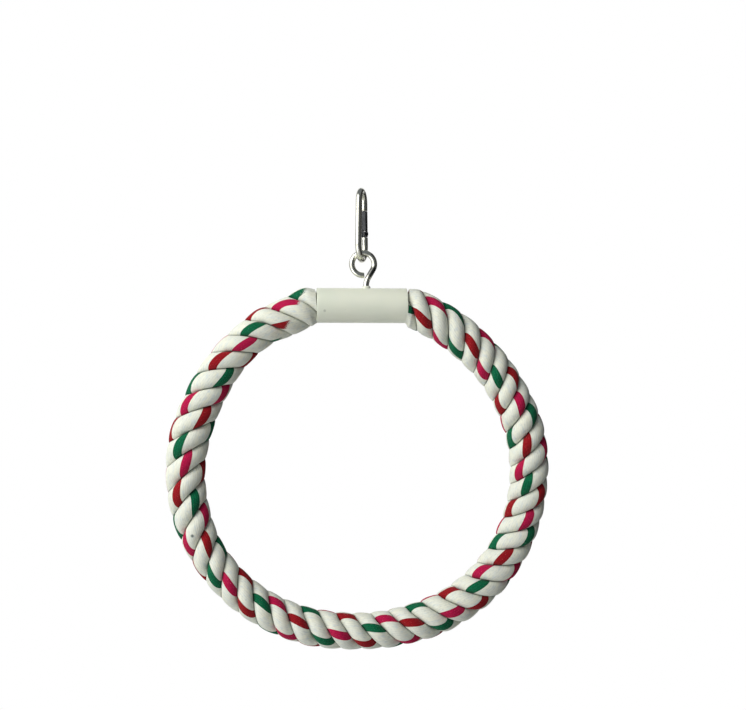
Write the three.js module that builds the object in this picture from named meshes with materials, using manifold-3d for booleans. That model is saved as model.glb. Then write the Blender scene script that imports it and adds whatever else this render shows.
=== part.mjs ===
// Rope ring perch: a ring of thick cotton rope, closed by a plastic sleeve, on a screw eye and a snap clip.
// Millimetres, +Z up, +X along the sleeve, the ring flat in the XZ plane with its front towards -Y.
// The origin is the hanging point: the inside of the clip's top bend, where a cage bar bears.
import * as THREE from 'three';
import Module from 'manifold-3d';
import { mergeVertices } from 'three/addons/utils/BufferGeometryUtils.js';

const wasm = await Module();
wasm.setup();

// Clearances between pieces
const seatGap = 0.3;
const pinGap = 0.16;
const slotGap = 0.26;
const rootOverlap = 1;

// Snap clip
const clipLength = 40;
const clipWire = 3.4;
const topBendRadius = 6.5;
const bottomBendRadius = 7.9;
const clipTurn = 17;
const gateLength = 12;
const pivotHeight = 6.2;
const gateDiameter = 3.5;
const gateFaceFlat = 1.5;
const gateSideFlat = 1.55;
const tangThickness = 1.0;
const tangHalfWidth = 1.3;
const tangRise = 1.2;
const rivetDiameter = 1.2;
const rivetHeadDiameter = 2.1;
const rivetHeadHeight = 0.35;
const noseNeckThickness = 0.9;
const noseHeadThickness = 1.6;
const noseNeckLength = 1.1;
const noseHeadLength = 1.4;
const noseInner = 0.7;
const noseOuter = 1.2;
const springBore = 1.7;
const springBoreDepth = 5.8;
const plungerDiameter = 1.3;
const plungerLength = 1.9;
const springWire = 0.26;
const springTurns = 6;

// Screw eye
const eyeWire = 3.1;
const eyeInner = 8.9;
const eyeShift = 0.8;
const shankShift = 2.4;
const neckDrop = 9.2;
const neckBend = 2.4;
const freeEndAngle = -95.5;
const shankVisible = 3.6;
const threadLength = 12;
const threadCrest = 3.3;
const threadRoot = 2.6;
const threadPitch = 1.5;
const threadStart = 0.5;
const screwTip = 2;

// Sleeve joint
const sleeveLength = 48;
const sleeveDiameter = 18.6;
const sleeveWall = 1.2;
const sleeveLip = 0.35;
const ropeSeat = 13;
const dowelChamfer = 0.8;
const tapeLength = 9;
const tapeThickness = 0.4;

// Rope ring
const ropeDiameter = 20;
const mouthStep = 0.1;
const mouthGap = 1.7;
const mouthFlare = 1.4;
const fullFlare = 6;
const ringRadius = 90.1;
const ringWiden = 1.2;
const ringFlatten = 1.1;
const ringShift = -1;
const mouthRun = 2.87;
const mouthBlend = 1.5;
const coreWireDiameter = 3;
const coreWireWall = 1.95;

// Places worked out from the sizes
const clipWireRadius = clipWire / 2;
const topBendZ = clipWireRadius - topBendRadius;
const bottomBendZ = clipWire - clipLength + clipWireRadius + bottomBendRadius;
const limbLean = Math.asin((bottomBendRadius - topBendRadius) / (topBendZ - bottomBendZ));
const gateRadius = gateDiameter / 2;
const eyeWireRadius = eyeWire / 2;
const eyeRadius = eyeInner / 2 + eyeWireRadius;
const eyeHang = eyeInner / 2 - clipWireRadius - seatGap;
const eyeZ = bottomBendZ - bottomBendRadius - Math.sqrt(eyeHang ** 2 - eyeShift ** 2);
const neckZ = eyeZ - neckDrop;
const sleeveRadius = sleeveDiameter / 2;
const sleeveBoreRadius = sleeveRadius - sleeveWall;
const sleeveZ = neckZ - shankVisible - sleeveRadius;
const dowelRadius = sleeveBoreRadius - seatGap;
const dowelLength = sleeveLength - 2 * ropeSeat;
const ropeEndRadius = dowelRadius - tapeThickness - seatGap;
const ropeMouthRadius = sleeveRadius - mouthStep;
const ropeEndX = dowelLength / 2 + seatGap;
const wireEndX = shankShift + threadCrest / 2 + coreWireWall;
const ringDrop = Math.sqrt(ringRadius ** 2 - (sleeveLength / 2 + mouthRun) ** 2);
const ringZ = sleeveZ - ringDrop;

// Materials, one for each finish
function finish(color, roughness, metalness) {
  return new THREE.MeshStandardMaterial({ color, roughness, metalness });
}

const cottonRope = finish(0xe4e5da, 0.95, 0);
const ivoryPlastic = finish(0xe3e6d4, 0.45, 0);
const nickelPlate = finish(0xb9bcb4, 0.22, 1);
const gateSteel = finish(0x7c807d, 0.35, 1);
const springSteel = finish(0x8d8f8c, 0.4, 1);
const beechWood = finish(0xc9a678, 0.7, 0);
const clothTape = finish(0xd9d6c4, 0.85, 0);

// Builders shared by the pieces
function toSolid(geometry) {
  const bare = geometry.clone();
  bare.deleteAttribute('normal');
  bare.deleteAttribute('uv');
  const merged = mergeVertices(bare, 1e-4);
  return new wasm.Manifold(new wasm.Mesh({
    numProp: 3,
    vertProperties: Float32Array.from(merged.attributes.position.array),
    triVerts: Uint32Array.from(merged.index.array),
  }));
}

function fromSolid(solid) {
  const mesh = solid.getMesh();
  const geometry = new THREE.BufferGeometry();
  geometry.setAttribute('position', new THREE.BufferAttribute(Float32Array.from(mesh.vertProperties), 3));
  geometry.setIndex(Array.from(mesh.triVerts));
  return geometry;
}

function part(name, geometry, material) {
  const mesh = new THREE.Mesh(geometry, material);
  mesh.name = name;
  return mesh;
}

// A cylinder from one point to another along its own axis.
function rod(from, to, radius, sides) {
  const along = new THREE.Vector3().subVectors(to, from);
  const geometry = new THREE.CylinderGeometry(radius, radius, along.length(), sides);
  const ownAxis = new THREE.Vector3(0, 1, 0);
  geometry.applyQuaternion(new THREE.Quaternion().setFromUnitVectors(ownAxis, along.normalize()));
  const middle = from.clone().add(to).multiplyScalar(0.5);
  return geometry.translate(middle.x, middle.y, middle.z);
}

function block(xFrom, xTo, yHalf, zFrom, zTo) {
  const geometry = new THREE.BoxGeometry(xTo - xFrom, 2 * yHalf, zTo - zFrom);
  return geometry.translate((xFrom + xTo) / 2, 0, (zFrom + zTo) / 2);
}

// A round wire bent along a path. A full circle takes two points for each of its curve segments.
function bentWire(path, radius, steps, sides) {
  const section = new THREE.Shape().absarc(0, 0, radius, 0, 2 * Math.PI);
  return new THREE.ExtrudeGeometry(section, { extrudePath: path, steps, curveSegments: sides / 2 });
}

// An outline drawn in X and Y, stood up in the XZ plane with its thickness across Y.
function uprightPlate(outline, thickness) {
  const settings = { depth: thickness, bevelEnabled: false, curveSegments: 12 };
  const geometry = new THREE.ExtrudeGeometry(outline, settings);
  return geometry.translate(0, 0, -thickness / 2).rotateX(Math.PI / 2);
}

// A rod across the clip's plane, for pin holes.
function acrossRod(radius, width, sides) {
  return rod(new THREE.Vector3(0, -width, 0), new THREE.Vector3(0, width, 0), radius, sides);
}

// A circular arc in the XZ plane, angles in radians from +X towards +Z.
class UprightArc extends THREE.Curve {
  constructor(centreX, centreZ, radius, from, to) {
    super();
    Object.assign(this, { centreX, centreZ, radius, from, to });
  }

  getPoint(t, target = new THREE.Vector3()) {
    const angle = this.from + t * (this.to - this.from);
    return target.set(
      this.centreX + this.radius * Math.cos(angle),
      0,
      this.centreZ + this.radius * Math.sin(angle),
    );
  }
}

// The ring's centreline, clockwise seen from the front, from the sleeve's right half to its left half.
// Outside the sleeve it is a circle drawn slightly wide and flattened below; inside it is a straight chord.
class RingRoute extends THREE.Curve {
  constructor(endX) {
    super();
    this.from = Math.atan2(endX - ringShift, ringDrop);
    this.to = 2 * Math.PI - Math.atan2(endX + ringShift, ringDrop);
    this.arcLengthDivisions = 1200;
  }

  getPoint(t, target = new THREE.Vector3()) {
    const angle = this.from + t * (this.to - this.from);
    const round = ringRadius - ringWiden * Math.cos(2 * angle) + ringFlatten * Math.cos(3 * angle);
    const chord = Math.cos(angle) > 0.5 ? ringDrop / Math.cos(angle) : 2 * ringRadius;
    const blend = Math.max(mouthBlend - Math.abs(round - chord), 0) / mouthBlend;
    const reach = Math.min(round, chord) - (blend ** 2 * mouthBlend) / 4;
    return target.set(ringShift + reach * Math.sin(angle), 0, ringZ + reach * Math.cos(angle));
  }
}

// The stations along the rope, closer together where it swells out of the sleeve.
function ropeStations(length, straight, middleSteps) {
  const swell = [0, straight, straight + mouthFlare / 2, straight + mouthFlare];
  swell.push(straight + (mouthFlare + fullFlare) / 2, straight + fullFlare);
  const first = swell[swell.length - 1];
  const stations = [...swell];
  for (let i = 1; i < middleSteps; i += 1) {
    stations.push(first + (i / middleSteps) * (length - 2 * first));
  }
  return stations.concat(swell.map((s) => length - s).reverse());
}

// Rings of points across a route at given distances along it; radiusAt gives each ring's radius.
function ringsAlong(route, distances, radiusAt, sides, turn) {
  const length = route.getLength();
  return distances.map((distance) => {
    const u = THREE.MathUtils.clamp(distance / length, 0, 1);
    const centre = route.getPointAt(u);
    const tangent = route.getTangentAt(u);
    const outward = new THREE.Vector3(-tangent.z, 0, tangent.x);
    return Array.from({ length: sides }, (_, i) => {
      const angle = turn + (2 * Math.PI * i) / sides;
      return centre.clone()
        .addScaledVector(outward, radiusAt(distance) * Math.cos(angle))
        .add(new THREE.Vector3(0, radiusAt(distance) * Math.sin(angle), 0));
    });
  });
}

// The faces between neighbouring rings of one tube, whose points start at first.
function tubeWall(ringCount, sides, first) {
  const faces = [];
  for (let ring = 0; ring < ringCount - 1; ring += 1) {
    for (let i = 0; i < sides; i += 1) {
      const [here, next] = [first + ring * sides, first + (ring + 1) * sides];
      const j = (i + 1) % sides;
      faces.push([here + i, next + i, next + j], [here + i, next + j, here + j]);
    }
  }
  return faces;
}

function meshOf(points, faces) {
  const geometry = new THREE.BufferGeometry().setFromPoints(points);
  geometry.setIndex(faces.flat());
  return geometry;
}

// A closed tube of one radius along a route.
function plainTube(route, distances, radius, sides) {
  const rings = ringsAlong(route, distances, () => radius, sides, Math.PI / sides);
  const faces = tubeWall(rings.length, sides, 0);
  const last = (rings.length - 1) * sides;
  for (let i = 1; i < sides - 1; i += 1) {
    faces.push([0, i, i + 1], [last, last + i + 1, last + i]);
  }
  return meshOf(rings.flat(), faces);
}

// A tube whose outside follows radiusAt, with a bore down its middle. The outside has twice as many sides as
// the bore, so each end face is three triangles to a side of the bore.
function boredTube(route, distances, radiusAt, boreRadius, boreSides) {
  const sides = 2 * boreSides;
  const outer = ringsAlong(route, distances, radiusAt, sides, 0);
  const inner = ringsAlong(route, distances, () => boreRadius, boreSides, Math.PI / boreSides);
  const boreFirst = outer.length * sides;
  const boreWall = tubeWall(inner.length, boreSides, boreFirst).map((face) => face.reverse());
  const faces = [...tubeWall(outer.length, sides, 0), ...boreWall];
  for (const [ring, flip] of [[0, false], [outer.length - 1, true]]) {
    const [rim, hole] = [ring * sides, boreFirst + ring * boreSides];
    for (let i = 0; i < boreSides; i += 1) {
      const [a, b, c] = [rim + 2 * i, rim + 2 * i + 1, rim + ((2 * i + 2) % sides)];
      const [p, q] = [hole + i, hole + ((i + boreSides - 1) % boreSides)];
      const fan = [[a, b, p], [b, c, p], [a, p, q]];
      faces.push(...fan.map((face) => (flip ? face.reverse() : face)));
    }
  }
  return meshOf([...outer.flat(), ...inner.flat()], faces);
}

// Clip pieces, in the clip's own plane: X from the front limb to the gate limb, Z up
const limbUp = new THREE.Vector3(-Math.sin(limbLean), 0, Math.cos(limbLean));
const limbOut = new THREE.Vector3(Math.cos(limbLean), 0, Math.sin(limbLean));
const limbFoot = limbOut.clone().multiplyScalar(bottomBendRadius).add(new THREE.Vector3(0, 0, bottomBendZ));
const limbHead = limbOut.clone().multiplyScalar(topBendRadius).add(new THREE.Vector3(0, 0, topBendZ));
const pivot = limbFoot.clone().addScaledVector(limbUp, pivotHeight);

// Puts a shape drawn about the pivot, X outward and Z up the gate, into the clip's plane.
function onGateLimb(geometry) {
  return geometry.rotateY(-limbLean).translate(pivot.x, 0, pivot.z);
}

function clipBody() {
  const tangShoulder = gateRadius + seatGap;
  const noseShoulder = gateLength + seatGap;
  const spineFoot = new THREE.Vector3(-limbFoot.x, 0, limbFoot.z);
  const spineHead = new THREE.Vector3(-limbHead.x, 0, limbHead.z);
  const path = new THREE.CurvePath();
  const lowerEnd = pivot.clone().addScaledVector(limbUp, -tangShoulder);
  const upperEnd = pivot.clone().addScaledVector(limbUp, noseShoulder);
  path.add(new THREE.LineCurve3(lowerEnd, limbFoot));
  path.add(new UprightArc(0, bottomBendZ, bottomBendRadius, limbLean, -Math.PI - limbLean));
  path.add(new THREE.LineCurve3(spineFoot, spineHead));
  path.add(new UprightArc(0, topBendZ, topBendRadius, Math.PI - limbLean, limbLean));
  path.add(new THREE.LineCurve3(limbHead, upperEnd));
  const wire = toSolid(bentWire(path, clipWireRadius, 84, 14));

  const tangOutline = new THREE.Shape();
  tangOutline.moveTo(-tangHalfWidth, -tangShoulder - rootOverlap);
  tangOutline.lineTo(tangHalfWidth, -tangShoulder - rootOverlap);
  tangOutline.lineTo(tangHalfWidth, tangRise);
  tangOutline.lineTo(-tangHalfWidth, tangRise);
  tangOutline.closePath();
  const tang = toSolid(onGateLimb(uprightPlate(tangOutline, tangThickness)));
  const hole = toSolid(onGateLimb(acrossRod(rivetDiameter / 2 + pinGap, tangThickness, 16)));

  const neckFoot = noseShoulder - seatGap - noseNeckLength;
  const neckOverlap = noseHeadLength / 2;
  const neck = toSolid(onGateLimb(
    block(-noseInner, noseOuter, noseNeckThickness / 2, neckFoot - neckOverlap, noseShoulder + rootOverlap),
  ));
  const head = toSolid(onGateLimb(
    block(-noseInner, noseOuter, noseHeadThickness / 2, neckFoot - noseHeadLength, neckFoot),
  ));
  return fromSolid(wire.add(tang).subtract(hole).add(neck).add(head));
}

function clipGate() {
  const outline = new THREE.Shape();
  outline.absarc(0, 0, gateRadius, Math.PI, 2 * Math.PI);
  outline.lineTo(gateRadius, gateLength);
  outline.lineTo(-gateFaceFlat, gateLength);
  outline.lineTo(-gateFaceFlat, gateRadius);
  outline.closePath();
  const profile = toSolid(uprightPlate(outline, 2 * gateSideFlat));
  const bar = toSolid(rod(
    new THREE.Vector3(0, 0, -gateDiameter),
    new THREE.Vector3(0, 0, gateLength + gateRadius),
    gateRadius,
    24,
  ));

  const slotTop = Math.hypot(tangHalfWidth, tangRise) + slotGap;
  const forkHalf = tangThickness / 2 + slotGap;
  const fork = toSolid(block(-gateDiameter, gateDiameter, forkHalf, -gateDiameter, slotTop));
  const bore = toSolid(rod(
    new THREE.Vector3(0, 0, slotTop - rootOverlap),
    new THREE.Vector3(0, 0, slotTop + springBoreDepth),
    springBore / 2,
    14,
  ));
  const neckFoot = gateLength - noseNeckLength;
  const headFoot = neckFoot - noseHeadLength;
  const slotInner = -noseInner - slotGap;
  const neckHalf = noseNeckThickness / 2 + slotGap;
  const headHalf = noseHeadThickness / 2 + slotGap;
  const neckSlot = toSolid(block(slotInner, gateDiameter, neckHalf, headFoot, gateLength + gateRadius));
  const headPocket = toSolid(
    block(slotInner, gateDiameter, headHalf, headFoot - seatGap, neckFoot + seatGap),
  );
  const rivetHole = toSolid(acrossRod(rivetDiameter / 2 + pinGap / 2, gateDiameter, 16));
  const gate = profile.intersect(bar).subtract(fork).subtract(bore).subtract(neckSlot);
  return onGateLimb(fromSolid(gate.subtract(headPocket).subtract(rivetHole)));
}

// A pin with a domed head at each end.
function gateRivet() {
  const under = gateSideFlat + pinGap / 2;
  const domeSteps = 4;
  const near = [new THREE.Vector2(0, -under - rivetHeadHeight)];
  for (let i = 1; i <= domeSteps; i += 1) {
    const angle = (i / domeSteps) * (Math.PI / 2);
    const radius = (rivetHeadDiameter / 2) * Math.sin(angle);
    near.push(new THREE.Vector2(radius, -under - rivetHeadHeight * Math.cos(angle)));
  }
  near.push(new THREE.Vector2(rivetDiameter / 2, -under));
  const far = near.map((p) => new THREE.Vector2(p.x, -p.y)).reverse();
  return onGateLimb(new THREE.LatheGeometry([...near, ...far], 16));
}

const plungerFoot = tangRise + slotGap;
const plungerHead = plungerFoot + plungerLength;

function gatePlunger() {
  return onGateLimb(rod(
    new THREE.Vector3(0, 0, plungerFoot),
    new THREE.Vector3(0, 0, plungerHead),
    plungerDiameter / 2,
    12,
  ));
}

// The spring's coil, drawn along Z above the pivot.
class Coil extends THREE.Curve {
  constructor(radius, foot, height, turns) {
    super();
    Object.assign(this, { radius, foot, height, turns });
  }

  getPoint(t, target = new THREE.Vector3()) {
    const angle = 2 * Math.PI * this.turns * t;
    const height = this.foot + t * this.height;
    return target.set(this.radius * Math.cos(angle), this.radius * Math.sin(angle), height);
  }
}

function gateSpring() {
  const slotTop = Math.hypot(tangHalfWidth, tangRise) + slotGap;
  const foot = plungerHead + seatGap + springWire / 2;
  const head = slotTop + springBoreDepth - seatGap / 2 - springWire / 2;
  const coilRadius = springBore / 2 - pinGap - springWire / 2;
  const coil = new Coil(coilRadius, foot, head - foot, springTurns);
  return onGateLimb(bentWire(coil, springWire / 2, 8 * springTurns, 5));
}

// The eye: a pear-shaped loop whose free end stops just short of its own shank, over a threaded shank.
function screwEye() {
  const neck = new THREE.Vector3(shankShift, 0, neckZ);
  const toCentre = new THREE.Vector3(eyeShift, 0, eyeZ).sub(neck);
  const heading = Math.atan2(toCentre.z, toCentre.x) - Math.asin(eyeRadius / toCentre.length());
  const slant = new THREE.Vector3(Math.cos(heading), 0, Math.sin(heading));
  const touch = neck.clone().addScaledVector(slant, Math.sqrt(toCentre.lengthSq() - eyeRadius ** 2));
  const bendFoot = neck.clone().add(new THREE.Vector3(0, 0, -neckBend));
  const bendHead = neck.clone().addScaledVector(slant, neckBend);
  const dowelTop = sleeveZ + dowelRadius;
  const path = new THREE.CurvePath();
  path.add(new THREE.LineCurve3(new THREE.Vector3(shankShift, 0, dowelTop), bendFoot));
  path.add(new THREE.QuadraticBezierCurve3(bendFoot, neck, bendHead));
  path.add(new THREE.LineCurve3(bendHead, touch));
  const from = heading - Math.PI / 2;
  const to = 2 * Math.PI + THREE.MathUtils.degToRad(freeEndAngle);
  path.add(new UprightArc(eyeShift, eyeZ, eyeRadius, from, to));
  const loop = toSolid(bentWire(path, eyeWireRadius, 52, 12));

  const screwHead = dowelTop + rootOverlap;
  const thread = [new THREE.Vector2(0, screwHead), new THREE.Vector2(threadRoot / 2, screwHead)];
  const ridges = Math.floor(threadLength / threadPitch);
  for (let i = 0; i < ridges; i += 1) {
    const z = dowelTop - threadStart - i * threadPitch;
    thread.push(new THREE.Vector2(threadRoot / 2, z));
    thread.push(new THREE.Vector2(threadCrest / 2, z - threadPitch / 2));
  }
  const foot = dowelTop - threadStart - ridges * threadPitch;
  thread.push(new THREE.Vector2(threadRoot / 2, foot), new THREE.Vector2(0, foot - screwTip));
  const screw = new THREE.LatheGeometry(thread.reverse(), 12).rotateX(Math.PI / 2);
  return fromSolid(loop.add(toSolid(screw.translate(shankShift, 0, 0))));
}

// A turned shape whose axis is the sleeve's: points are (radius, place along X).
function turnedAlongSleeve(points, segments) {
  return new THREE.LatheGeometry(points.map(([radius, x]) => new THREE.Vector2(radius, x)), segments)
    .rotateZ(-Math.PI / 2)
    .translate(0, 0, sleeveZ);
}

function jointSleeve() {
  const half = sleeveLength / 2;
  const tube = toSolid(turnedAlongSleeve([
    [sleeveBoreRadius, -half],
    [sleeveRadius - sleeveLip, -half],
    [sleeveRadius, -half + sleeveLip],
    [sleeveRadius, half - sleeveLip],
    [sleeveRadius - sleeveLip, half],
    [sleeveBoreRadius, half],
    [sleeveBoreRadius, -half],
  ], 40));
  const hole = toSolid(rod(
    new THREE.Vector3(shankShift, 0, sleeveZ + sleeveBoreRadius / 2),
    new THREE.Vector3(shankShift, 0, sleeveZ + 2 * sleeveRadius),
    eyeWireRadius + seatGap,
    16,
  ));
  return fromSolid(tube.subtract(hole));
}

function jointDowel() {
  const half = dowelLength / 2;
  const plug = toSolid(turnedAlongSleeve([
    [0, -half],
    [dowelRadius - dowelChamfer, -half],
    [dowelRadius, -half + dowelChamfer],
    [dowelRadius, half - dowelChamfer],
    [dowelRadius - dowelChamfer, half],
    [0, half],
  ], 28));
  const screwFoot = sleeveZ + dowelRadius - threadStart - threadLength - screwTip - seatGap;
  const screwHole = toSolid(rod(
    new THREE.Vector3(shankShift, 0, screwFoot),
    new THREE.Vector3(shankShift, 0, sleeveZ + sleeveRadius),
    threadCrest / 2 + seatGap,
    14,
  ));
  const seatSides = 12;
  const seatRadius = (coreWireDiameter / 2 + seatGap) / Math.cos(Math.PI / seatSides);
  let dowel = plug.subtract(screwHole);
  for (const side of [-1, 1]) {
    const from = new THREE.Vector3(side * (wireEndX - seatGap), 0, sleeveZ);
    const to = new THREE.Vector3(side * (half + rootOverlap), 0, sleeveZ);
    dowel = dowel.subtract(toSolid(rod(from, to, seatRadius, seatSides)));
  }
  return fromSolid(dowel);
}

// The tape round a rope end, which brings it up to the dowel's own size.
function endTape(side) {
  const outside = dowelRadius;
  const inside = outside - tapeThickness;
  const middle = side * (ropeEndX + tapeLength / 2);
  const from = middle - tapeLength / 2;
  const to = middle + tapeLength / 2;
  const section = [[inside, from], [outside, from], [outside, to], [inside, to], [inside, from]];
  return turnedAlongSleeve(section, 24);
}

const boreSides = 8;
const wireRoute = new RingRoute(wireEndX);
const wireLength = wireRoute.getLength();
const ropeStart = ropeEndX - wireEndX;
const ropeLength = wireLength - 2 * ropeStart;
const straightRope = sleeveLength / 2 + mouthGap - ropeEndX;
const stations = ropeStations(ropeLength, straightRope, 56).map((s) => s + ropeStart);

// The rope's radius: squeezed in the sleeve, nearly the sleeve's own size at its mouth, then full.
function ropeRadiusAt(distance) {
  const fromEnd = Math.min(distance, wireLength - distance) - ropeStart - straightRope;
  if (fromEnd <= mouthFlare) {
    const share = THREE.MathUtils.clamp(fromEnd / mouthFlare, 0, 1);
    return THREE.MathUtils.lerp(ropeEndRadius, ropeMouthRadius, share);
  }
  const share = THREE.MathUtils.smoothstep(fromEnd, mouthFlare, fullFlare);
  return THREE.MathUtils.lerp(ropeMouthRadius, ropeDiameter / 2, share);
}

function ropeRing() {
  const boreRadius = (coreWireDiameter / 2 + seatGap) / Math.cos(Math.PI / boreSides);
  return boredTube(wireRoute, stations, ropeRadiusAt, boreRadius, boreSides);
}

function coreWire() {
  return plainTube(wireRoute, [0, ...stations, wireLength], coreWireDiameter / 2, boreSides);
}

const clip = new THREE.Group();
clip.rotation.z = THREE.MathUtils.degToRad(90 - clipTurn);
clip.add(
  part('clip_body', clipBody(), nickelPlate),
  part('clip_gate', clipGate(), gateSteel),
  part('gate_rivet', gateRivet(), nickelPlate),
  part('gate_plunger', gatePlunger(), springSteel),
  part('gate_spring', gateSpring(), springSteel),
);

const perch = new THREE.Group();
perch.add(
  clip,
  part('screw_eye', screwEye(), nickelPlate),
  part('joint_sleeve', jointSleeve(), ivoryPlastic),
  part('joint_dowel', jointDowel(), beechWood),
  part('end_tape_left', endTape(-1), clothTape),
  part('end_tape_right', endTape(1), clothTape),
  part('rope_ring', ropeRing(), cottonRope),
  part('core_wire', coreWire(), springSteel),
);

export default perch;
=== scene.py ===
import math

import bmesh
import bpy
from mathutils import Matrix, Vector, noise


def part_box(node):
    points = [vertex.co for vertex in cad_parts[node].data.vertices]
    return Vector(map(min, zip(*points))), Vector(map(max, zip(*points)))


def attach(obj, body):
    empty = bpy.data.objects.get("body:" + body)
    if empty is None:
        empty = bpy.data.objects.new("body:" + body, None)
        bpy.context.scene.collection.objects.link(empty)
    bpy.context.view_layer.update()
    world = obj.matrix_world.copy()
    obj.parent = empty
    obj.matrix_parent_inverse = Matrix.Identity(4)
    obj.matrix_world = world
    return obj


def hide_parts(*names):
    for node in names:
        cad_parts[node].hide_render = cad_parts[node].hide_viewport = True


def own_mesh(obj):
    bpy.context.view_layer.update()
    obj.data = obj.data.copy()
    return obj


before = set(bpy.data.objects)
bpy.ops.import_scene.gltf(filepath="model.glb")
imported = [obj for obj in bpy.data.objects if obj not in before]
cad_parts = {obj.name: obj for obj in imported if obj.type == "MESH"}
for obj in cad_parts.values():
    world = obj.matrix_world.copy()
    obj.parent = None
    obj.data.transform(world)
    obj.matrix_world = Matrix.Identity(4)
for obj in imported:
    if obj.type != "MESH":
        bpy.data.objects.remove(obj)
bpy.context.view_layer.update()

MM = 0.001


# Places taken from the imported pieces
sleeve_low, sleeve_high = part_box("joint_sleeve")
SLEEVE_RADIUS = (sleeve_high.y - sleeve_low.y) / 2
SLEEVE_HALF = (sleeve_high.x - sleeve_low.x) / 2
SLEEVE_Z = (sleeve_high.z + sleeve_low.z) / 2
SLEEVE_WALL = 1.2 * MM
SLEEVE_BORE_RADIUS = SLEEVE_RADIUS - SLEEVE_WALL


# The ring's centreline
RING_RADIUS = 90.1 * MM
RING_WIDEN = 1.2 * MM
RING_FLATTEN = 1.1 * MM
RING_SHIFT = -1.0 * MM
MOUTH_RUN = 2.87 * MM
MOUTH_BLEND = 1.5 * MM
RING_DROP = math.sqrt(RING_RADIUS ** 2 - (SLEEVE_HALF + MOUTH_RUN) ** 2)
RING_Z = SLEEVE_Z - RING_DROP


def ring_point(angle):
    """The centreline's point at an angle clockwise from the top, seen from the front."""
    widened = RING_WIDEN * math.cos(2 * angle) - RING_FLATTEN * math.cos(3 * angle)
    arc = RING_RADIUS - widened
    chord = RING_DROP / math.cos(angle) if math.cos(angle) > 0.5 else 2 * RING_RADIUS
    blend = max(MOUTH_BLEND - abs(arc - chord), 0) / MOUTH_BLEND
    reach = min(arc, chord) - blend ** 2 * MOUTH_BLEND / 4
    return Vector((RING_SHIFT + reach * math.sin(angle), 0, RING_Z + reach * math.cos(angle)))


def ring_outward(angle):
    """The direction away from the ring's middle, square to the centreline."""
    step = 0.002
    along = (ring_point(angle + step) - ring_point(angle - step)).normalized()
    return Vector((-along.z, 0, along.x))


# The rope's make-up
ROPE_RADIUS = 10 * MM
ROPE_MOUTH_RADIUS = 9.35 * MM
ROPE_END_RADIUS = 7.1 * MM
ROPE_END_X = 11.3 * MM
MOUTH_GAP = 0.02 * MM
MOUTH_FLARE = 0.3 * MM
FULL_FLARE = 5.0 * MM
CORE_RADIUS = 2.0 * MM
STRANDS = 3
STRAND_HALF_ANGLE = math.pi / STRANDS
STRAND_GAP = 0.06 * MM
GROOVE_ON_FACE = 4.6 * MM
GROOVE_ON_EDGE = 1.0 * MM
PILLOW_POWER = 2.05
EDGE_PRESS_POWER = 11
TIGHT_LAY = math.radians(19.7)
LOOSE_LAY = math.radians(24.0)
LOOSENS_FROM = math.radians(150)
LOOSENS_UNTIL = math.radians(340)
LOOSENING_POWER = 1.3
LAY_ANCHOR = math.radians(56.4)
ANCHOR_AZIMUTH = math.radians(-13.4)
ROPE_STEPS = 1700
CROWN_STEPS = 44
WALL_STEPS = 3
HUB_STEPS = 4
UV_ROWS = 5
UV_ROWS_HEIGHT = 0.94
UV_CAP_RADIUS = 0.01
STRAND_PATTERN_STEP = 40.0

# Coloured yarns: one thick yarn to a strand, which comes up to the surface once in each repeat
YARN_REPEAT = math.radians(103.2)
YARN_SLANT = 1.085
YARN_HALF_WIDTH = math.radians(14.8)
YARN_RISE = 0.12 * MM
YARNS_PER_REPEAT = 7
YARN_RELIEF = 0.05 * MM
FRAY_X = -33.5 * MM
FRAY_Z = -53.7 * MM
FRAY_SLOPE = 0.5
FRAY_FADE = 4.5 * MM
TOP_FRAY_X = 34 * MM
TOP_FRAY_Z = -52.8 * MM
TOP_FRAY_FADE = 1.8 * MM
STRAND_YARNS = {
    "green": math.radians(-15),
    "red": math.radians(-373),
    "magenta": math.radians(-405),
}


# How the worn rope differs from an even one, by degrees clockwise from the ring's top: its thickness
# as a share, its sag outwards in mm, and how far its strands and their yarns have slipped, in degrees
THICKNESS = (
    (0, 1.06), (18, 1.07), (38, 1.065), (52, 1.02), (80, 1.07), (100, 1.03), (130, 1.045), (152, 1.03),
    (178, 0.955), (198, 0.97), (216, 0.945), (238, 0.935), (262, 1.02), (280, 1.065), (296, 1.03),
    (318, 0.95), (334, 1.02), (345, 1.06), (360, 1.06),
)
SAG = (
    (0, 0.0), (16, 0.0), (26, -0.9), (44, -0.95), (60, -0.3), (78, 0.5), (100, 0.15), (136, 0.5),
    (150, 0.4), (166, -0.3), (182, -0.5), (200, 0.0), (250, -0.1), (276, 0.4), (292, 0.0), (314, 0.7),
    (326, 0.5), (334, -1.1), (345, 0.0), (360, 0.0),
)
STRAND_SLIP = ((0, -38), (16, -38), (26, -23), (48, 0), (306, 0), (335, -30), (345, -38), (360, -38))
YARN_SLIP = (
    (0, 40), (19, 40), (28, 32), (36, 10), (48, 0),
    (320, 0), (333, 4), (341, -14), (345, -16), (360, -16),
)
NO_SLIP = ((0, 0), (360, 0))
GREEN_SLIP = ((0, -36), (20, -36), (25, 0), (360, 0))


def eased(values, angle):
    """The value at an angle, eased from each place in a list to the next."""
    place = math.degrees(angle)
    for (start, before), (end, after) in zip(values, values[1:]):
        if place <= end:
            return before + (after - before) * smoothstep((place - start) / (end - start))
    return values[-1][1]


def smoothstep(share):
    share = min(max(share, 0.0), 1.0)
    return share * share * (3 - 2 * share)


def lay_at(angle):
    """How far round the ring one turn of the strands goes, more towards the rope's looser left end."""
    loosened = max(0.0, (angle - LOOSENS_FROM) / (LOOSENS_UNTIL - LOOSENS_FROM))
    return TIGHT_LAY + (LOOSE_LAY - TIGHT_LAY) * loosened ** LOOSENING_POWER


def past_mouth(from_end):
    """0 at the sleeve's mouth, rising to 1 where the rope has its full size."""
    return smoothstep((from_end - (SLEEVE_HALF - ROPE_END_X)) / FULL_FLARE)


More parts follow.
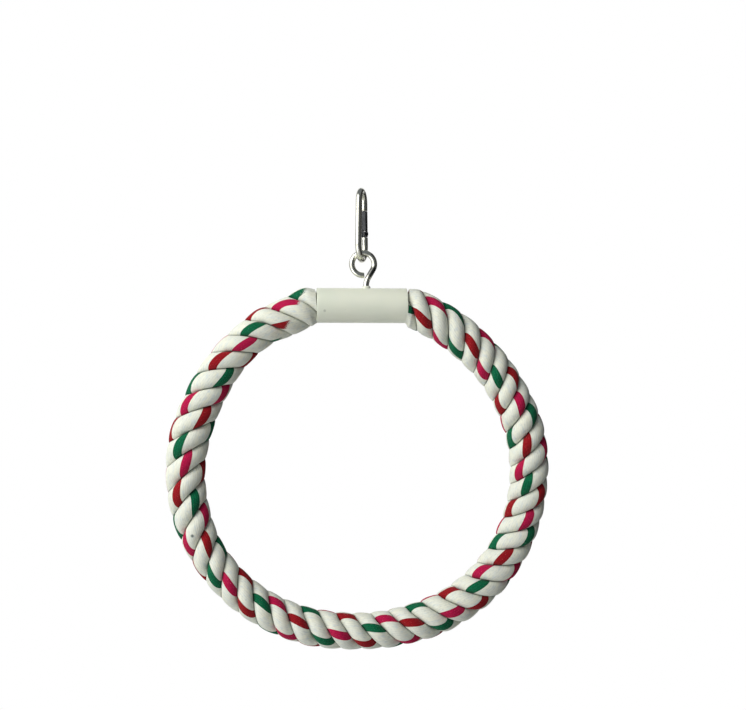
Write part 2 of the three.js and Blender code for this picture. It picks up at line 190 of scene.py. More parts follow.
def rope_radius_at(from_end):
    """Squeezed inside the sleeve, the sleeve's own size at its mouth, then full."""
    past = from_end - (SLEEVE_HALF + MOUTH_GAP - ROPE_END_X)
    if past <= MOUTH_FLARE:
        share = min(max(past / MOUTH_FLARE, 0), 1)
        return ROPE_END_RADIUS + (ROPE_MOUTH_RADIUS - ROPE_END_RADIUS) * math.sin(share * math.pi / 2)
    share = smoothstep((past - MOUTH_FLARE) / (FULL_FLARE - MOUTH_FLARE))
    return ROPE_MOUTH_RADIUS + (ROPE_RADIUS - ROPE_MOUTH_RADIUS) * share


def rope_stations():
    """The rope from its right end to its left, with what its strands need to know at each place."""
    first = math.atan2(ROPE_END_X - RING_SHIFT, RING_DROP)
    last = 2 * math.pi - math.atan2(ROPE_END_X + RING_SHIFT, RING_DROP)
    angles = [first + (last - first) * i / ROPE_STEPS for i in range(ROPE_STEPS + 1)]
    points = [ring_point(a) for a in angles]
    runs = [0.0]
    turns = [0.0]
    for i in range(ROPE_STEPS):
        runs.append(runs[-1] + (points[i + 1] - points[i]).length)
        middle = (angles[i] + angles[i + 1]) / 2
        turns.append(turns[-1] - 2 * math.pi * (angles[i + 1] - angles[i]) / lay_at(middle))
    anchor = min(range(ROPE_STEPS + 1), key=lambda i: abs(angles[i] - LAY_ANCHOR))
    shift = ANCHOR_AZIMUTH - turns[anchor]
    stations = []
    for i, angle in enumerate(angles):
        from_end = min(runs[i], runs[-1] - runs[i])
        worn = 1 + (eased(THICKNESS, angle) - 1) * past_mouth(from_end)
        stations.append({
            "angle": angle,
            "centre": points[i] + ring_outward(angle) * eased(SAG, angle) * MM,
            "outward": ring_outward(angle),
            "run": runs[i],
            "radius": rope_radius_at(from_end) * worn,
            "azimuth": turns[i] + shift + math.radians(eased(STRAND_SLIP, angle)),
            "yarn_slip": math.radians(eased(YARN_SLIP, angle)),
        })
    return stations


def strand_section():
    """Points round a strand, each as (share of its half angle, share of the way out, part)."""
    section = []
    for i in range(CROWN_STEPS + 1):
        turn = math.pi * (i / CROWN_STEPS - 0.5)
        side = math.copysign(abs(math.sin(turn)) ** (2 / PILLOW_POWER), math.sin(turn))
        section.append((side, abs(math.cos(turn)) ** (2 / PILLOW_POWER), "crown"))
    for i in range(1, WALL_STEPS + 1):
        section.append((1.0, 1 - i / WALL_STEPS, "wall"))
    for i in range(1, HUB_STEPS):
        section.append((1 - 2 * i / HUB_STEPS, 0.0, "hub"))
    for i in range(WALL_STEPS):
        section.append((-1.0, i / WALL_STEPS, "wall"))
    return section


def groove_depth(facing):
    """How far the groove sinks beside a strand: less round the ring's outside and inside, pressed flat."""
    pressed = abs(math.sin(facing)) ** EDGE_PRESS_POWER
    return GROOVE_ON_FACE + (GROOVE_ON_EDGE - GROOVE_ON_FACE) * pressed


def yarn_phase(azimuth, offset, yarn_start):
    """Which repeat of the coloured yarn a point belongs to, whole numbers being the yarn's own middle."""
    return (azimuth + YARN_SLANT * offset - yarn_start) / YARN_REPEAT


def yarn_relief(phase):
    """How far the yarns stand proud of a smooth strand, the dyed one most."""
    off = (phase - round(phase)) * YARN_REPEAT
    rise = YARN_RISE * max(0.0, 1 - (off / (1.1 * YARN_HALF_WIDTH)) ** 2)
    lobes = abs(math.cos(math.pi * YARNS_PER_REPEAT * (phase + 0.5 / YARNS_PER_REPEAT)))
    return rise - YARN_RELIEF * (1 - lobes)


def fray_at(point):
    """1 at the sleeve's left mouth and on top of its right one, where undyed yarn covers the dyed one."""
    if point.z < RING_Z:
        return 0.0
    if point.x > 0:
        on_top = smoothstep((point.z - TOP_FRAY_Z) / TOP_FRAY_FADE)
        return on_top * smoothstep((TOP_FRAY_X - point.x) / FRAY_FADE)
    edge = FRAY_X + FRAY_SLOPE * (point.z - FRAY_Z)
    return smoothstep((point.x - edge) / FRAY_FADE)


def strand_mesh(name, number, yarn_start, own_slip, stations):
    """One of the rope's strands, a closed sweep that winds round the core wire."""
    section = strand_section()
    around = len(section)
    verts = []
    places = []
    phases = []
    grooves = []
    frays = []
    for station in stations:
        azimuth = station["azimuth"] + number * 2 * math.pi / STRANDS
        yarn_from = yarn_start + station["yarn_slip"] + math.radians(eased(own_slip, station["angle"]))
        squeeze = (station["radius"] - CORE_RADIUS) / (ROPE_RADIUS - CORE_RADIUS)
        for side, out, part in section:
            facing = azimuth + side * STRAND_HALF_ANGLE
            groove = groove_depth(facing)
            foot = ROPE_RADIUS - groove
            if part == "crown":
                reach = foot + groove * out
            elif part == "wall":
                reach = CORE_RADIUS + (foot - CORE_RADIUS) * out
            else:
                reach = CORE_RADIUS
            offset = side * (STRAND_HALF_ANGLE - STRAND_GAP / reach)
            phase = yarn_phase(azimuth, offset, yarn_from)
            if part == "crown":
                reach += yarn_relief(phase) * min(1.0, 2 * out)
            reach = CORE_RADIUS + (reach - CORE_RADIUS) * squeeze
            direction = Vector((0, -1, 0)) * math.cos(azimuth + offset)
            direction += station["outward"] * math.sin(azimuth + offset)
            verts.append(station["centre"] + direction * reach)
            across = phase * YARN_REPEAT * ROPE_RADIUS / MM
            places.append((station["run"] / MM, across, STRAND_PATTERN_STEP * number))
            phases.append(phase)
            # The groove value sets how much painted shade the cotton gets here
            grooves.append(1 - out if part == "crown" else 1.0)
            frays.append(fray_at(verts[-1]))
    mesh = tube_of_rings(name, verts, len(stations), around)
    add_values(mesh, "yarn_place", "FLOAT_VECTOR", "vector", [c for place in places for c in place])
    add_values(mesh, "yarn_phase", "FLOAT", "value", phases)
    add_values(mesh, "groove", "FLOAT", "value", grooves)
    add_values(mesh, "fray", "FLOAT", "value", frays)
    fold_strand_uv(mesh, len(stations) - 1, around)
    return finish_mesh(name, mesh)


def add_values(mesh, name, kind, field, values):
    """A named value on each point, for the materials to read."""
    mesh.attributes.new(name, kind, "POINT").data.foreach_set(field, values)


def fold_strand_uv(mesh, steps, around):
    """The strand's skin cut into rows, one above the other, so that it fills a square picture."""
    per_row = steps // UV_ROWS
    layer = mesh.uv_layers.new(name="OFBake")
    row_height = UV_ROWS_HEIGHT / UV_ROWS
    for face in mesh.polygons:
        i, j = divmod(face.index, around)
        if i >= steps:
            for corner, loop in enumerate(face.loop_indices):
                turn = 2 * math.pi * corner / face.loop_total
                middle = Vector((0.02 + 0.03 * (j + 1), 0.98))
                layer.data[loop].uv = middle + UV_CAP_RADIUS * Vector((math.cos(turn), math.sin(turn)))
            continue
        row, column = divmod(i, per_row)
        corners = ((0, 0), (0, 1), (1, 1), (1, 0))
        for (along, across), loop in zip(corners, face.loop_indices):
            u = 0.005 + 0.99 * (column + along) / per_row
            v = 0.01 + row_height * (row + 0.96 * (j + across) / around)
            layer.data[loop].uv = (u, v)


CREASE = math.radians(35)


def smooth_between_creases(work):
    """Shades the faces round, and keeps the edges that are sharper than a crease."""
    for edge in work.edges:
        edge.smooth = len(edge.link_faces) == 2 and edge.calc_face_angle(0) < CREASE
    for face in work.faces:
        face.smooth = True


def finish_mesh(name, mesh):
    """Points the faces out, smooths them, and puts the piece in the scene."""
    work = bmesh.new()
    work.from_mesh(mesh)
    bmesh.ops.recalc_face_normals(work, faces=work.faces)
    smooth_between_creases(work)
    work.to_mesh(mesh)
    work.free()
    piece = bpy.data.objects.new(name, mesh)
    bpy.context.scene.collection.objects.link(piece)
    return piece


# Swept wires and turned solids
WIRE_SIDES = 28
HOLE_SIDES = 24
SAME_POINT = 0.05 * MM


def swept_wire(name, path, radius, taper):
    """A round wire along a path in one upright plane; taper gives its end rings as (run, share)."""
    tangents = []
    for i in range(len(path)):
        tangents.append((path[min(i + 1, len(path) - 1)] - path[max(i - 1, 0)]).normalized())
    rings = []
    for run, share in taper:
        rings.append((path[0] + tangents[0] * run, tangents[0], radius * share))
    rings += [(path[i], tangents[i], radius) for i in range(1, len(path) - 1)]
    for run, share in reversed(taper):
        rings.append((path[-1] - tangents[-1] * run, tangents[-1], radius * share))
    verts = []
    for centre, along, size in rings:
        sideways = Vector((0, 1, 0))
        outward = along.cross(sideways)
        for i in range(WIRE_SIDES):
            turn = 2 * math.pi * i / WIRE_SIDES
            verts.append(centre + (outward * math.cos(turn) + sideways * math.sin(turn)) * size)
    return finish_mesh(name, tube_of_rings(name, verts, len(rings), WIRE_SIDES))


def tube_of_rings(name, verts, ring_count, sides):
    """A closed tube through rings of points, with a flat face at each end."""
    faces = []
    for i in range(ring_count - 1):
        for j in range(sides):
            k = (j + 1) % sides
            faces.append((i * sides + j, i * sides + k, (i + 1) * sides + k, (i + 1) * sides + j))
    faces.append(tuple(reversed(range(sides))))
    faces.append(tuple((ring_count - 1) * sides + j for j in range(sides)))
    mesh = bpy.data.meshes.new(name)
    mesh.from_pydata(verts, [], faces)
    return mesh


def upright_arc(centre_x, centre_z, radius, start, end, step=math.radians(4)):
    """Points on an arc in the XZ plane, angles from +X towards +Z."""
    count = max(2, math.ceil(abs(end - start) / step))
    points = []
    for i in range(count + 1):
        turn = start + (end - start) * i / count
        points.append(Vector((centre_x + radius * math.cos(turn), 0, centre_z + radius * math.sin(turn))))
    return points


def straight_run(start, end, step=1.5 * MM):
    """Points on a straight line, both ends included."""
    count = max(1, math.ceil((end - start).length / step))
    return [start.lerp(end, i / count) for i in range(count + 1)]


def joined_path(*stretches):
    """Stretches one after another, without the points that they share."""
    path = []
    for stretch in stretches:
        for point in stretch:
            if not path or (point - path[-1]).length > SAME_POINT:
                path.append(point)
    return path


def turned(name, profile, segments, place):
    """A solid turned from (radius, height) points that start and end on the axis or close on themselves."""
    hollow = profile[0][0] > 0
    verts = []
    faces = []
    rows = []
    for radius, height in profile:
        if radius == 0:
            rows.append([len(verts)] * segments)
            verts.append(place @ Vector((0, 0, height)))
            continue
        rows.append([len(verts) + i for i in range(segments)])
        for i in range(segments):
            turn = 2 * math.pi * i / segments
            verts.append(place @ Vector((radius * math.cos(turn), radius * math.sin(turn), height)))
    pairs = list(zip(rows, rows[1:] + rows[:1])) if hollow else list(zip(rows, rows[1:]))
    for lower, upper in pairs:
        for i in range(segments):
            k = (i + 1) % segments
            corners = dict.fromkeys((lower[i], lower[k], upper[k], upper[i]))
            faces.append(tuple(corners))
    mesh = bpy.data.meshes.new(name)
    mesh.from_pydata(verts, [], faces)
    return finish_mesh(name, mesh)


def bevelled_block(name, low, high, bevel, place):
    """A block between two corners with its edges rounded."""
    work = bmesh.new()
    bmesh.ops.create_cube(work, size=1.0)
    for vert in work.verts:
        share = vert.co + Vector((0.5, 0.5, 0.5))
        vert.co = Vector([a + (b - a) * s for a, b, s in zip(low, high, share)])
    bmesh.ops.bevel(work, geom=work.edges[:], offset=bevel, segments=3, affect="EDGES", profile=0.5)
    work.transform(place)
    mesh = bpy.data.meshes.new(name)
    work.to_mesh(mesh)
    work.free()
    return finish_mesh(name, mesh)


def shape_with(piece, tools, operation):
    """Joins tools to a piece or cuts them out of it, then takes the tools away."""
    for tool in tools:
        change = piece.modifiers.new("shape", "BOOLEAN")
        change.operation = operation
        change.solver = "EXACT"
        change.object = tool
    bpy.context.view_layer.update()
    graph = bpy.context.evaluated_depsgraph_get()
    shaped = bpy.data.meshes.new_from_object(piece.evaluated_get(graph))
    name = piece.name
    for old in [piece, *tools]:
        bpy.data.objects.remove(old)
    return finish_mesh(name, shaped)


# Snap clip, drawn in its own plane: X from the front limb to the gate limb, Z up
CLIP_LENGTH = 40 * MM
CLIP_WIRE_RADIUS = 1.7 * MM
TOP_BEND_RADIUS = 6.5 * MM
BOTTOM_BEND_RADIUS = 7.9 * MM
CLIP_TURN = math.radians(73)
PIVOT_HEIGHT = 6.2 * MM
GATE_LENGTH = 12 * MM
GATE_RADIUS = 1.75 * MM
SEAT_GAP = 0.3 * MM
GATE_FOOT_GAP = 0.12 * MM
GATE_HEAD_GAP = 0.2 * MM
TANG_HALF_THICKNESS = 0.5 * MM
TANG_HALF_WIDTH = 1.3 * MM
TANG_RISE = 1.2 * MM
RIVET_HOLE_RADIUS = 0.76 * MM
NOSE_INNER = 0.7 * MM
NOSE_OUTER = 1.2 * MM
NOSE_NECK_HALF = 0.45 * MM
NOSE_HEAD_HALF = 0.8 * MM
NOSE_NECK_LENGTH = 1.1 * MM
NOSE_HEAD_LENGTH = 1.4 * MM
ROOT_OVERLAP = 1.0 * MM
TANG_BEVEL = 0.12 * MM
NECK_BEVEL = 0.08 * MM
HEAD_BEVEL = 0.1 * MM
RIVET_HOLE_REACH = 2 * MM
CAP_MARGIN = 0.02 * MM
TOP_BEND_Z = CLIP_WIRE_RADIUS - TOP_BEND_RADIUS
BOTTOM_BEND_Z = 3 * CLIP_WIRE_RADIUS - CLIP_LENGTH + BOTTOM_BEND_RADIUS
LIMB_LEAN = math.asin((BOTTOM_BEND_RADIUS - TOP_BEND_RADIUS) / (TOP_BEND_Z - BOTTOM_BEND_Z))
LIMB_UP = Vector((-math.sin(LIMB_LEAN), 0, math.cos(LIMB_LEAN)))
LIMB_OUT = Vector((math.cos(LIMB_LEAN), 0, math.sin(LIMB_LEAN)))
LIMB_FOOT = LIMB_OUT * BOTTOM_BEND_RADIUS + Vector((0, 0, BOTTOM_BEND_Z))
LIMB_HEAD = LIMB_OUT * TOP_BEND_RADIUS + Vector((0, 0, TOP_BEND_Z))
PIVOT = LIMB_FOOT + LIMB_UP * PIVOT_HEIGHT
CUT_END = ((0.0, 0.86), (0.18 * MM, 0.97), (0.34 * MM, 1.0))


def clip_body():
    """The clip's bent wire, with the tang that carries the gate and the nose that the gate shuts on."""
    lower_end = PIVOT - LIMB_UP * (GATE_RADIUS + GATE_FOOT_GAP)
    upper_end = PIVOT + LIMB_UP * (GATE_LENGTH + GATE_HEAD_GAP)
    mirrored_foot = Vector((-LIMB_FOOT.x, 0, LIMB_FOOT.z))
    mirrored_head = Vector((-LIMB_HEAD.x, 0, LIMB_HEAD.z))
    path = joined_path(
        straight_run(lower_end, LIMB_FOOT),
        upright_arc(0, BOTTOM_BEND_Z, BOTTOM_BEND_RADIUS, LIMB_LEAN, -math.pi - LIMB_LEAN),
        straight_run(mirrored_foot, mirrored_head),
        upright_arc(0, TOP_BEND_Z, TOP_BEND_RADIUS, math.pi - LIMB_LEAN, LIMB_LEAN),
        straight_run(LIMB_HEAD, upper_end),
    )
    wire = swept_wire("snap_clip", path, CLIP_WIRE_RADIUS, CUT_END)
    on_limb = Matrix.Translation(PIVOT) @ Matrix.Rotation(-LIMB_LEAN, 4, "Y")
    tang = bevelled_block(
        "tang",
        Vector((-TANG_HALF_WIDTH, -TANG_HALF_THICKNESS, -GATE_RADIUS - SEAT_GAP - ROOT_OVERLAP)),
        Vector((TANG_HALF_WIDTH, TANG_HALF_THICKNESS, TANG_RISE)),
        TANG_BEVEL,
        on_limb,
    )
    neck_foot = GATE_LENGTH - NOSE_NECK_LENGTH
    neck = bevelled_block(
        "neck",
        Vector((-NOSE_INNER, -NOSE_NECK_HALF, neck_foot - NOSE_HEAD_LENGTH / 2)),
        Vector((NOSE_OUTER, NOSE_NECK_HALF, GATE_LENGTH + SEAT_GAP + ROOT_OVERLAP)),
        NECK_BEVEL,
        on_limb,
    )
    head = bevelled_block(
        "head",
        Vector((-NOSE_INNER, -NOSE_HEAD_HALF, neck_foot - NOSE_HEAD_LENGTH)),
        Vector((NOSE_OUTER, NOSE_HEAD_HALF, neck_foot)),
        HEAD_BEVEL,
        on_limb,
    )
    across = on_limb @ Matrix.Rotation(math.pi / 2, 4, "X")
    hole_profile = [
        (0, -RIVET_HOLE_REACH),
        (RIVET_HOLE_RADIUS, -RIVET_HOLE_REACH),
        (RIVET_HOLE_RADIUS, RIVET_HOLE_REACH),
        (0, RIVET_HOLE_REACH),
    ]
    hole = turned("hole", hole_profile, HOLE_SIDES, across)
    body = shape_with(wire, [tang, neck, head], "UNION")
    body = shape_with(body, [hole], "DIFFERENCE")
    # Painted shade: the tang, the nose and the wire's ends by the gate are marked to go near-black
    painted_dark = []
    for vert in body.data.vertices:
        from_pivot = vert.co - PIVOT
        height = from_pivot.dot(LIMB_UP)
        beside = abs(from_pivot.dot(LIMB_OUT))
        above_foot = height > -GATE_RADIUS - GATE_FOOT_GAP - CAP_MARGIN
        below_head = height < GATE_LENGTH + GATE_HEAD_GAP + CAP_MARGIN
        painted_dark.append(1.0 if above_foot and below_head and beside < 2 * GATE_RADIUS else 0.0)
    add_values(body.data, "painted_dark", "FLOAT", "value", painted_dark)
    body.data.transform(Matrix.Rotation(CLIP_TURN, 4, "Z"))
    return body


# Screw eye
EYE_WIRE_RADIUS = 1.55 * MM
EYE_INNER_RADIUS = 4.45 * MM
EYE_SHIFT = 0.8 * MM
SHANK_X = 2.4 * MM
NECK_DROP = 9.2 * MM
NECK_BEND = 2.4 * MM
NECK_STEPS = 12
EYE_FREE_END = math.radians(275.5)
SHANK_VISIBLE = 3.6 * MM
THREAD_LENGTH = 12 * MM
THREAD_PITCH = 1.5 * MM
THREAD_CREST_RADIUS = 1.65 * MM
THREAD_ROOT_RADIUS = 1.3 * MM
SCREW_TIP = 2.0 * MM
THREAD_START = 0.5 * MM
# Where and how strongly the eye's slanted leg gets a painted dark reflection, above the neck
DARK_REFLECTION_FROM = 1.8 * MM
DARK_REFLECTION_FROM_FADE = 1.4 * MM
DARK_REFLECTION_TO = 8.6 * MM
DARK_REFLECTION_TO_FADE = 1.6 * MM
DARK_REFLECTION_SHARE = 0.9
DOWEL_TOP = SLEEVE_Z + SLEEVE_BORE_RADIUS - SEAT_GAP
NECK_Z = SLEEVE_Z + SLEEVE_RADIUS + SHANK_VISIBLE
EYE_Z = NECK_Z + NECK_DROP


def screw_eye():
    """The eye: a pear-shaped loop that stops just short of its own leg, over a threaded shank."""
    eye_radius = EYE_INNER_RADIUS + EYE_WIRE_RADIUS
    neck = Vector((SHANK_X, 0, NECK_Z))
    to_centre = Vector((EYE_SHIFT, 0, EYE_Z)) - neck
    heading = math.atan2(to_centre.z, to_centre.x) - math.asin(eye_radius / to_centre.length)
    slant = Vector((math.cos(heading), 0, math.sin(heading)))
    touch = neck + slant * math.sqrt(to_centre.length_squared - eye_radius ** 2)
    bend_foot = neck - Vector((0, 0, NECK_BEND))
    bend_head = neck + slant * NECK_BEND
    bend = []
    for i in range(NECK_STEPS + 1):
        share = i / NECK_STEPS
        bend.append(bend_foot.lerp(neck, share).lerp(neck.lerp(bend_head, share), share))
    path = joined_path(
        straight_run(Vector((SHANK_X, 0, DOWEL_TOP)), bend_foot),
        bend,
        straight_run(bend_head, touch),
        upright_arc(EYE_SHIFT, EYE_Z, eye_radius, heading - math.pi / 2, EYE_FREE_END),
    )
    loop = swept_wire("screw_eye_wire", path, EYE_WIRE_RADIUS, CUT_END)
    head = DOWEL_TOP + ROOT_OVERLAP
    ridges = int(THREAD_LENGTH / THREAD_PITCH + 1e-6)
    foot = DOWEL_TOP - THREAD_START - ridges * THREAD_PITCH
    profile = [(0, foot - SCREW_TIP), (THREAD_ROOT_RADIUS, foot)]
    for i in reversed(range(ridges)):
        z = DOWEL_TOP - THREAD_START - i * THREAD_PITCH
        profile.append((THREAD_CREST_RADIUS, z - THREAD_PITCH / 2))
        profile.append((THREAD_ROOT_RADIUS, z))
    profile += [(THREAD_ROOT_RADIUS, head), (0, head)]
    screw = turned("screw", profile, HOLE_SIDES, Matrix.Translation((SHANK_X, 0, 0)))
    eye = shape_with(loop, [screw], "UNION")
    # Painted dark reflection: the slanted leg right of the shank, above the neck, is marked to go
    # near-black
    painted_dark_reflection = []
    for vertex in eye.data.vertices:
        above = smoothstep((vertex.co.z - NECK_Z - DARK_REFLECTION_FROM) / DARK_REFLECTION_FROM_FADE)
        below = smoothstep((NECK_Z + DARK_REFLECTION_TO - vertex.co.z) / DARK_REFLECTION_TO_FADE)
        painted_dark_reflection.append(DARK_REFLECTION_SHARE * above * below if vertex.co.x > SHANK_X else 0.0)
    add_values(eye.data, "painted_dark", "FLOAT", "value", painted_dark_reflection)
    return eye


# Sleeve
LIP = 0.22 * MM
SLEEVE_SEGMENTS = 112
BURR_HEIGHT = 1.1 * MM
BURR_RADIUS = 2.5 * MM
RAGGED_SIZE = 1.1 * MM
RAGGED_HEIGHT = 0.3 * MM
INNER_RIM_STEPS = 4
OUTER_RIM_STEPS = 5
SLEEVE_ROWS = 10
SHANK_HOLE_FOOT = 3 * MM


def sleeve_tube():
    """The ivory tube: both rims rounded over, with the hole that the eye's shank goes through."""
    half = SLEEVE_HALF
    profile = [(SLEEVE_BORE_RADIUS, -half + LIP)]
    for side in (-1, 1):
        rim = []
        for i in range(INNER_RIM_STEPS + 1):
            turn = math.pi / 2 * i / INNER_RIM_STEPS
            rim.append((SLEEVE_BORE_RADIUS + LIP * (1 - math.cos(turn)), half - LIP * (1 - math.sin(turn))))
        for i in range(1, OUTER_RIM_STEPS + 1):
            turn = math.pi / 2 * (1 - i / OUTER_RIM_STEPS)
            rim.append((SLEEVE_RADIUS - LIP * (1 - math.cos(turn)), half - LIP * (1 - math.sin(turn))))
        if side < 0:
            profile += [(radius, -x) for radius, x in rim[1:]]
            rows = range(1 - SLEEVE_ROWS, SLEEVE_ROWS)
            profile += [(SLEEVE_RADIUS, row * half / SLEEVE_ROWS) for row in rows]
        else:
            profile += [(radius, x) for radius, x in reversed(rim)]
    along_x = Matrix.Translation((0, 0, SLEEVE_Z)) @ Matrix.Rotation(math.pi / 2, 4, "Y")
    tube = turned("sleeve", profile, SLEEVE_SEGMENTS, along_x)
    hole_radius = EYE_WIRE_RADIUS + SEAT_GAP
    hole_foot = SLEEVE_Z + SHANK_HOLE_FOOT
    hole_head = SLEEVE_Z + 2 * SLEEVE_RADIUS
    hole_profile = [(0, hole_foot), (hole_radius, hole_foot), (hole_radius, hole_head), (0, hole_head)]
    hole = turned("hole", hole_profile, 32, Matrix.Translation((SHANK_X, 0, 0)))
    return shape_with(tube, [hole], "DIFFERENCE")


def sleeve_burr():
    """The lip of plastic that the screw eye raised round its shank."""
    inner = EYE_WIRE_RADIUS + 0.05 * MM
    base = SLEEVE_Z + SLEEVE_RADIUS
    profile = [
        (inner, base - 0.5 * MM),
        (BURR_RADIUS, base - 0.5 * MM),
        (BURR_RADIUS, base - 0.1 * MM),
        (BURR_RADIUS - 0.15 * MM, base + 0.35 * BURR_HEIGHT),
        (BURR_RADIUS - 0.4 * MM, base + 0.8 * BURR_HEIGHT),
        (BURR_RADIUS - 0.65 * MM, base + BURR_HEIGHT),
        (inner + 0.1 * MM, base + 0.9 * BURR_HEIGHT),
        (inner, base + 0.6 * BURR_HEIGHT),
    ]
    burr = turned("sleeve_burr", profile, 48, Matrix.Translation((SHANK_X, 0, 0)))
    for vert in burr.data.vertices:
        ragged = noise.noise(vert.co / RAGGED_SIZE)
        rise = max(0.0, (vert.co.z - base) / BURR_HEIGHT)
        vert.co.z += RAGGED_HEIGHT * ragged * rise
    return burr


# Node building
def link(tree, socket, value):
    """Feeds an input from another socket, or sets it to a plain value."""
    if isinstance(value, bpy.types.NodeSocket):
        tree.links.new(value, socket)
    elif value is not None:
        socket.default_value = value


def node(tree, kind, inputs=(), **settings):
    made = tree.nodes.new(kind)
    for key, value in settings.items():
        setattr(made, key, value)
    for key, value in dict(inputs).items():
        link(tree, made.inputs[key], value)
    return made


def maths(tree, operation, a, b=None, c=None):
    made = node(tree, "ShaderNodeMath", operation=operation)
    for i, value in enumerate((a, b, c)):
        link(tree, made.inputs[i], value)
    return made.outputs[0]


def fade(tree, value, low, high, to_low=0.0, to_high=1.0):
    """A value carried smoothly from one range to another, held at its ends."""
    made = node(tree, "ShaderNodeMapRange", interpolation_type="SMOOTHSTEP")
    for i, entry in enumerate((value, low, high, to_low, to_high)):
        link(tree, made.inputs[i], entry)
    return made.outputs[0]


def blend_colours(tree, factor, first, second, blend_type="MIX"):
    made = node(tree, "ShaderNodeMix", data_type="RGBA", blend_type=blend_type)
    link(tree, made.inputs["Factor"], factor)
    link(tree, made.inputs["A"], first)
    link(tree, made.inputs["B"], second)
    return made.outputs["Result"]


def cloud(tree, place, scale, detail=3.0, roughness=0.5):
    """Soft noise over a place, from 0 to 1."""
    made = node(tree, "ShaderNodeTexNoise", {"Scale": scale, "Detail": detail, "Roughness": roughness})
    link(tree, made.inputs["Vector"], place)
    return made.outputs["Fac"]


def stretched(tree, place, factors):
    """A place multiplied along each axis, which draws a pattern out or packs it closer."""
    made = node(tree, "ShaderNodeVectorMath", operation="MULTIPLY")
    link(tree, made.inputs[0], place)
    link(tree, made.inputs[1], factors)
    return made.outputs[0]


def object_place(tree):
    return node(tree, "ShaderNodeTexCoord").outputs["Object"]


def named_value(tree, name, output="Fac"):
    """What add_values stored on the piece under a name."""
    return node(tree, "ShaderNodeAttribute", attribute_name=name).outputs[output]


def add_bump(tree, surface, strength, distance, height):
    """Fine relief on a shader, from a height."""
    bump = node(tree, "ShaderNodeBump", {"Strength": strength, "Distance": distance, "Height": height})
    link(tree, surface.inputs["Normal"], bump.outputs["Normal"])


def effect_group(name, inputs, outputs):
    """An empty shader group with named inputs and outputs, and its two end nodes."""
    kinds = {"value": "NodeSocketFloat", "vector": "NodeSocketVector", "colour": "NodeSocketColor"}
    group = bpy.data.node_groups.new(name, "ShaderNodeTree")
    for label, kind, default in inputs:
        socket = group.interface.new_socket(name=label, in_out="INPUT", socket_type=kinds[kind])
        if default is not None:
            socket.default_value = default
    for label, kind in outputs:
        group.interface.new_socket(name=label, in_out="OUTPUT", socket_type=kinds[kind])
    return group, group.nodes.new("NodeGroupInput").outputs, group.nodes.new("NodeGroupOutput").inputs


def use_group(tree, group, values):
    made = tree.nodes.new("ShaderNodeGroup")
    made.node_tree = group
    for label, value in values.items():
        link(tree, made.inputs[label], value)
    return made.outputs


def new_material(name):
    material = bpy.data.materials.new(name)
    material.use_nodes = True
    tree = material.node_tree
    return material, tree, tree.nodes["Principled BSDF"]


def coloured_yarn_group():
    """Where a strand's thick coloured yarn lies, with a fibrous edge."""
    group, given, out = effect_group(
        "coloured_yarn",
        [("Phase", "value", 0.0), ("Place", "vector", None), ("Half Width", "value", 0.143),
         ("Fray", "value", 0.006)],
        [("Mask", "value")],
    )
    nearest = maths(group, "ROUND", given["Phase"])
    off = maths(group, "ABSOLUTE", maths(group, "SUBTRACT", given["Phase"], nearest))
    fibres = cloud(group, stretched(group, given["Place"], (0.5, 2.5, 1.0)), 1.2, 3.0)
    ragged = maths(group, "MULTIPLY_ADD", maths(group, "SUBTRACT", fibres, 0.5), given["Fray"], off)
    inside = maths(group, "SUBTRACT", given["Half Width"], ragged)
    link(group, out["Mask"], fade(group, inside, -0.003, 0.004))
    return group


def spun_yarn_group():
    """The soft yarns that lie side by side in a strand: their height, and the shade between them."""
    group, given, out = effect_group(
        "spun_yarn",
        [("Phase", "value", 0.0), ("Place", "vector", None), ("Yarns", "value", 14.0)],
        [("Height", "value"), ("Between", "value"), ("Fibres", "value")],
    )
    waves = cloud(group, stretched(group, given["Place"], (0.12, 0.3, 1.0)), 1.0)
    wander = maths(group, "SUBTRACT", waves, 0.5)
    phase = maths(group, "MULTIPLY_ADD", wander, 0.05, given["Phase"])
    half_turns = maths(group, "MULTIPLY", maths(group, "MULTIPLY", phase, given["Yarns"]), math.pi)
    lobes = maths(group, "ABSOLUTE", maths(group, "COSINE", half_turns))
    fibres = cloud(group, stretched(group, given["Place"], (1.2, 7.0, 1.0)), 1.0, 4.0, 0.6)
    round_top = maths(group, "POWER", lobes, 0.6)
    link(group, out["Height"], maths(group, "MULTIPLY_ADD", fibres, 0.5, round_top))
    link(group, out["Between"], fade(group, lobes, 0.45, 0.0))
    link(group, out["Fibres"], fibres)
    return group


COLOURED_YARN = coloured_yarn_group()
SPUN_YARN = spun_yarn_group()

# Dyed yarns as lit and shaded copies, the undyed cotton's own tones, painted shade between yarns and in
# grooves
YARN_COLOURS = {
    "green": ((0.0, 0.172, 0.068, 1), (0.0, 0.040, 0.018, 1)),
    "red": ((0.355, 0.006, 0.011, 1), (0.165, 0.002, 0.006, 1)),
    "magenta": ((0.545, 0.007, 0.072, 1), (0.26, 0.002, 0.035, 1)),
}
CREAM = (0.77, 0.785, 0.69, 1)
CREAM_WARM = (0.80, 0.80, 0.665, 1)
CREAM_COOL = (0.66, 0.71, 0.685, 1)
SHADE_BETWEEN_YARNS = (0.5, 0.52, 0.47, 1)
MOTTLE = (0.52, 0.545, 0.515, 1)
GROOVE_SHADE = (0.20, 0.215, 0.22, 1)
OPEN_GROOVE_SHADE = 0.75
FRAYED_GROOVE_SHADE = 0.25
STRAND_STAIN_COLOUR = (0.17, 0.20, 0.18, 1)
SLEEVE_STAIN_COLOUR = (0.30, 0.33, 0.27, 1)
STAIN_DEPTH_SHARE = 0.2
STRAND_STAIN = (-88.4 * MM, -8.5 * MM, -179.1 * MM)
SLEEVE_STAIN = (-20.0 * MM, -8.8 * MM, -62.5 * MM)


